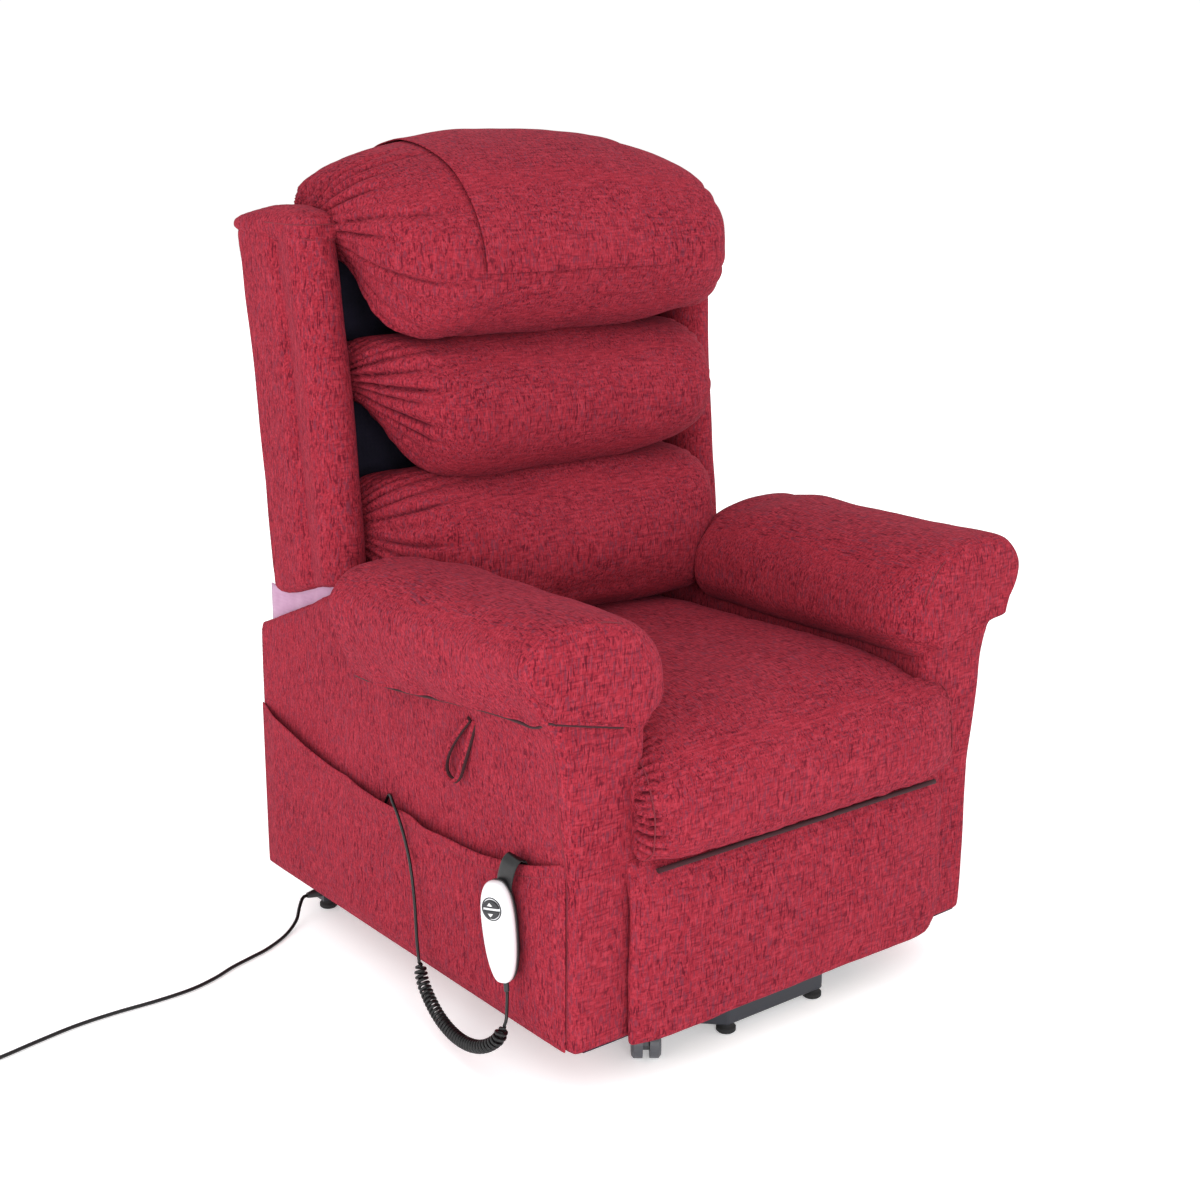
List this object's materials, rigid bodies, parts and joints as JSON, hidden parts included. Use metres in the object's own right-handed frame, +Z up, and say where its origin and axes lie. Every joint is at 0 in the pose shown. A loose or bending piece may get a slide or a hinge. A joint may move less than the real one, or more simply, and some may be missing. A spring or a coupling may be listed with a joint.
{
  "type": "lift recliner chair",
  "caption": "Fabric-covered armchair that lifts and tilts forward on a steel base to help the sitter stand, with a reclining pillow back, a rising footrest and a wired hand control.",
  "frame": {"origin": "centre of the chair's footprint on the floor, leaving out the cords", "axes": "+Z up; the chair faces -Y; +X is the sitter's left"},
  "size_m": [1.4787, 0.8465, 1.1975],
  "materials": {
    "upholstery": "matte",
    "lining": "matte",
    "timber": "satin",
    "steel": "satin",
    "bright_steel": "polished",
    "rubber": "matte",
    "wheel_plastic": "satin",
    "white_plastic": "gloss",
    "charcoal_plastic": "satin",
    "cable": "satin"
  },
  "bodies": {
    "base": {"front_bar": "steel", "rear_crossbar": "steel", "base_side_tube_left": "steel", "base_side_tube_right": "steel", "front_glide_left": "rubber", "front_glide_right": "rubber", "rear_glide_left": "rubber", "rear_glide_right": "rubber", "mains_gland": "charcoal_plastic", "mains_cord": "cable", "mains_coil": "cable", "mains_plug": "charcoal_plastic"},
    "castor_left": {"castor_hub_left": "wheel_plastic"},
    "castor_right": {"castor_hub_right": "wheel_plastic"},
    "castor_wheels_left": {"castor_wheels_left": "wheel_plastic"},
    "castor_wheels_right": {"castor_wheels_right": "wheel_plastic"},
    "lift_frame": {"lift_arm_left": "steel", "lift_arm_right": "steel", "lift_cross_tube": "steel"},
    "lift_stays": {"lift_stay_left": "steel", "lift_stay_right": "steel"},
    "lift_actuator": {"lift_motor": "charcoal_plastic"},
    "actuator_rod": {"lift_rod": "bright_steel"},
    "chassis": {"seat_rail_left": "steel", "seat_rail_right": "steel", "seat_front_bar": "steel", "seat_deck": "timber", "arm_box_left": "upholstery", "arm_box_right": "upholstery", "arm_pad_left": "upholstery", "arm_pad_right": "upholstery", "arm_cover_left": "upholstery", "arm_cover_right": "upholstery", "rear_lower_panel": "upholstery", "side_pocket": "upholstery", "pull_loop": "upholstery", "seat_cushion": "upholstery", "handset_back_shell": "charcoal_plastic", "handset_front_shell": "white_plastic", "handset_clip": "charcoal_plastic", "handset_cord_upper": "cable", "handset_cord_curl": "cable", "handset_cord_lower": "cable"},
    "button_up": {"button_up": "charcoal_plastic"},
    "button_down": {"button_down": "charcoal_plastic"},
    "footrest_carriers": {"footrest_carrier_left": "steel", "footrest_carrier_right": "steel"},
    "footrest_links": {"footrest_link_left": "steel", "footrest_link_right": "steel"},
    "footrest": {"footrest_board": "timber", "footrest_pad": "upholstery"},
    "back": {"back_board": "lining", "outside_back": "upholstery", "head_pillow": "upholstery", "middle_bolster": "upholstery", "lumbar_bolster": "upholstery", "head_cover": "upholstery", "wing_left": "upholstery", "wing_right": "upholstery"}
  },
  "joints": [
    {"name": "lift", "type": "hinge", "parent": "base", "child": "lift_frame", "pos_m": [0, -0.1965, 0.095], "axis": [1, 0, 0], "range_deg": [0, 45]},
    {"name": "chassis_tilt", "type": "hinge", "parent": "lift_frame", "child": "chassis", "pos_m": [0, 0.1835, 0.115], "axis": [1, 0, 0], "range_deg": [-23, 0]},
    {"name": "stay_swing", "type": "hinge", "parent": "base", "child": "lift_stays", "pos_m": [0, -0.3525, 0.09], "axis": [1, 0, 0], "range_deg": [0, 54.1]},
    {"name": "motor_tilt", "type": "hinge", "parent": "base", "child": "lift_actuator", "pos_m": [0, 0.3235, 0.1], "axis": [1, 0, 0], "range_deg": [-4.9, 0]},
    {"name": "rod_extend", "type": "slide", "parent": "lift_actuator", "child": "actuator_rod", "axis": [0, -0.9946, 0.1041], "range_m": [0, 0.0685]},
    {"name": "back_recline", "type": "hinge", "parent": "chassis", "child": "back", "pos_m": [0, 0.3235, 0.36], "axis": [-1, 0, 0], "range_deg": [0, 35]},
    {"name": "footrest_carrier_swing", "type": "hinge", "parent": "chassis", "child": "footrest_carriers", "pos_m": [0, -0.0265, 0.31], "axis": [-1, 0, 0], "range_deg": [0, 83]},
    {"name": "footrest_link_swing", "type": "hinge", "parent": "footrest_carriers", "child": "footrest_links", "pos_m": [0, -0.006, 0.076], "axis": [-1, 0, 0], "range_deg": [-104.3, 0]},
    {"name": "footrest_tilt", "type": "hinge", "parent": "footrest_links", "child": "footrest", "pos_m": [0, -0.3415, 0.28], "axis": [-1, 0, 0], "range_deg": [0, 106.3]},
    {"name": "castor_swivel_left", "type": "hinge", "parent": "base", "child": "castor_left", "pos_m": [0.2, -0.3135, 0.05], "axis": [0, 0, 1], "continuous": true},
    {"name": "castor_swivel_right", "type": "hinge", "parent": "base", "child": "castor_right", "pos_m": [-0.2, -0.3135, 0.05], "axis": [0, 0, 1], "continuous": true},
    {"name": "castor_roll_left", "type": "hinge", "parent": "castor_left", "child": "castor_wheels_left", "pos_m": [0.207, -0.28639, 0.0214], "axis": [0.9682, -0.2501, 0], "continuous": true},
    {"name": "castor_roll_right", "type": "hinge", "parent": "castor_right", "child": "castor_wheels_right", "pos_m": [-0.2168, -0.3359, 0.0214], "axis": [-0.8, 0.6, 0], "continuous": true},
    {"name": "button_up_press", "type": "slide", "parent": "chassis", "child": "button_up", "axis": [1, 0, 0], "range_m": [0, 0.001], "stiffness_N_per_m": 1000, "springref_m": -0.001},
    {"name": "button_down_press", "type": "slide", "parent": "chassis", "child": "button_down", "axis": [1, 0, 0], "range_m": [0, 0.001], "stiffness_N_per_m": 1000, "springref_m": -0.001}
  ],
  "couplings": [
    {"joint": "chassis_tilt", "follows": "lift", "ratio": -0.51111},
    {"joint": "stay_swing", "follows": "lift", "ratio": 1.2022},
    {"joint": "motor_tilt", "follows": "lift", "ratio": -0.1078},
    {"joint": "rod_extend", "follows": "lift", "m_per_rad": 0.0868},
    {"joint": "footrest_carrier_swing", "follows": "back_recline", "ratio": 2.3714},
    {"joint": "footrest_link_swing", "follows": "back_recline", "ratio": -2.98},
    {"joint": "footrest_tilt", "follows": "back_recline", "ratio": 3.0371}
  ]
}
